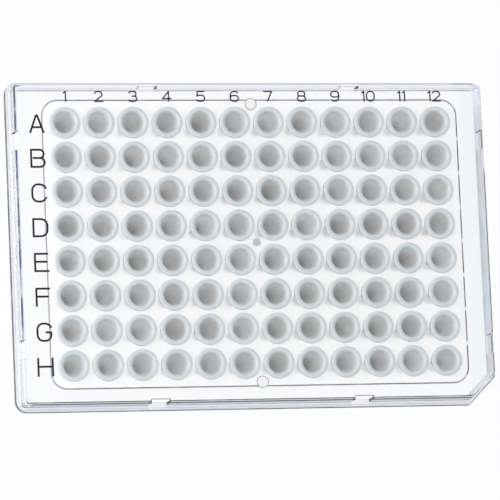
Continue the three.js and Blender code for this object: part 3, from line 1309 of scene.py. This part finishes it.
def studio_world(fill):
    """White all round, at the strength of the fill light for matt surfaces."""
    world = bpy.data.worlds.new("studio_world")
    finish = Finish(world)
    seen = seen_directly(finish)
    strength = seen * (1 - fill) + fill
    light = finish.node("ShaderNodeBackground", {}, {"Color": WHITE, "Strength": strength})
    finish.node("ShaderNodeOutputWorld", {}, {"Surface": light.outputs[0]})
    return world


def add_softbox(name, power, size, place, aim):
    """A square lamp that faces its aim."""
    data = bpy.data.lights.new(name, "AREA")
    data.energy = power
    data.size = size
    lamp = bpy.data.objects.new(name, data)
    bpy.context.scene.collection.objects.link(lamp)
    lamp.location = place
    lamp.rotation_euler = (aim - Vector(place)).to_track_quat("-Z", "Y").to_euler()


def add_card(name, x, y, turn):
    """A dark upright card that only clear and glossy surfaces show, so that their edges draw."""
    finish = new_finish(name)
    dark = finish.node("ShaderNodeEmission", {}, {"Color": CARD_TONE})
    bm = bmesh.new()
    spot = Matrix.Translation((x, y, CARD_HEIGHT / 2)) @ Matrix.Rotation(turn, 4, "Z")
    upright = Matrix.Rotation(math.pi / 2, 4, "X") @ Matrix.Diagonal(
        (CARD_WIDTH, CARD_HEIGHT, 1, 1)
    )
    bmesh.ops.create_grid(bm, x_segments=1, y_segments=1, size=0.5, matrix=spot @ upright)
    card = add_piece(name, bm, [finish.surface(dark.outputs[0])])
    card.visible_camera = False
    card.visible_diffuse = False
    card.visible_shadow = False
    card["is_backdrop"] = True


class PLATE_OT_studio(Operator):
    """Sets up the table, the softboxes, the surround and the camera"""

    bl_idname = "plate.studio"
    bl_label = "Studio"

    def execute(self, context):
        scene = context.scene
        studio = scene.plate_studio
        low, high = (Vector(corner) for corner in CAD_BOX)
        rim_centre = Vector(((low.x + high.x) / 2, (low.y + high.y) / 2, high.z))

        top = bmesh.new()
        bmesh.ops.create_grid(
            top, x_segments=1, y_segments=1, size=TABLE_SIZE / 2,
            matrix=Matrix.Translation((0, 0, low.z)),
        )
        table = add_piece("table", top, [studio_table(scene.plate_finishes)])
        table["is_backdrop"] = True

        scene.world = studio_world(studio.fill)
        for name, (share, size, place) in SOFTBOXES.items():
            add_softbox(name, studio.softbox * share, size, place, rim_centre)
        for side in (-CARD_DISTANCE, CARD_DISTANCE):
            add_card("side_card", side, 0, math.pi / 2)
            add_card("end_card", 0, side, 0)

        data = bpy.data.cameras.new("camera")
        data.lens = studio.lens
        data.sensor_width = SENSOR_WIDTH
        data.clip_end = CLIP_END
        camera = bpy.data.objects.new("camera", data)
        scene.collection.objects.link(camera)
        turn = Euler(studio.turn).to_matrix()
        camera.rotation_euler = studio.turn
        camera.location = rim_centre + Vector(studio.aim) + turn @ Vector((0, 0, studio.distance))
        scene.camera = camera
        scene.view_settings.view_transform = "Standard"
        return {"FINISHED"}


# ---- The sidebar -------------------------------------------------

OPERATORS = (PLATE_OT_frame, PLATE_OT_tubes, PLATE_OT_web, PLATE_OT_print, PLATE_OT_studio)


class PLATE_PT_sidebar(Panel):
    """Lists the plate's sizes, colours and pieces"""

    bl_idname = "PLATE_PT_sidebar"
    bl_label = "PCR Plate"
    bl_space_type = "VIEW_3D"
    bl_region_type = "UI"
    bl_category = "PCR Plate"

    def draw(self, context):
        for name, group in PROPERTY_GROUPS.items():
            box = self.layout.box()
            box.label(text=group.__doc__.rstrip("."))
            settings = getattr(context.scene, name)
            for key in group.__annotations__:
                box.prop(settings, key)
        for operator in OPERATORS:
            self.layout.operator(operator.bl_idname)


def register():
    """Registers the classes, and gives each scene the plate's sizes and colours."""
    for name, group in PROPERTY_GROUPS.items():
        bpy.utils.register_class(group)
        setattr(bpy.types.Scene, name, PointerProperty(type=group))
    for cls in (*OPERATORS, PLATE_PT_sidebar):
        bpy.utils.register_class(cls)


def unregister():
    """Takes back all that register() added."""
    for cls in reversed((*OPERATORS, PLATE_PT_sidebar)):
        bpy.utils.unregister_class(cls)
    for name, group in PROPERTY_GROUPS.items():
        delattr(bpy.types.Scene, name)
        bpy.utils.unregister_class(group)


def main():
    """Makes the plate and its studio, and works out the sizes of both models."""
    register()
    bpy.ops.plate.frame()
    bpy.ops.plate.tubes()
    bpy.ops.plate.web()
    bpy.ops.plate.print()
    bpy.ops.plate.studio()
    boxes = {"cad": CAD_BOX, "visual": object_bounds()}
    {k: [list(corner) for corner in box] for k, box in boxes.items()}


if __name__ == "__main__":
    main()
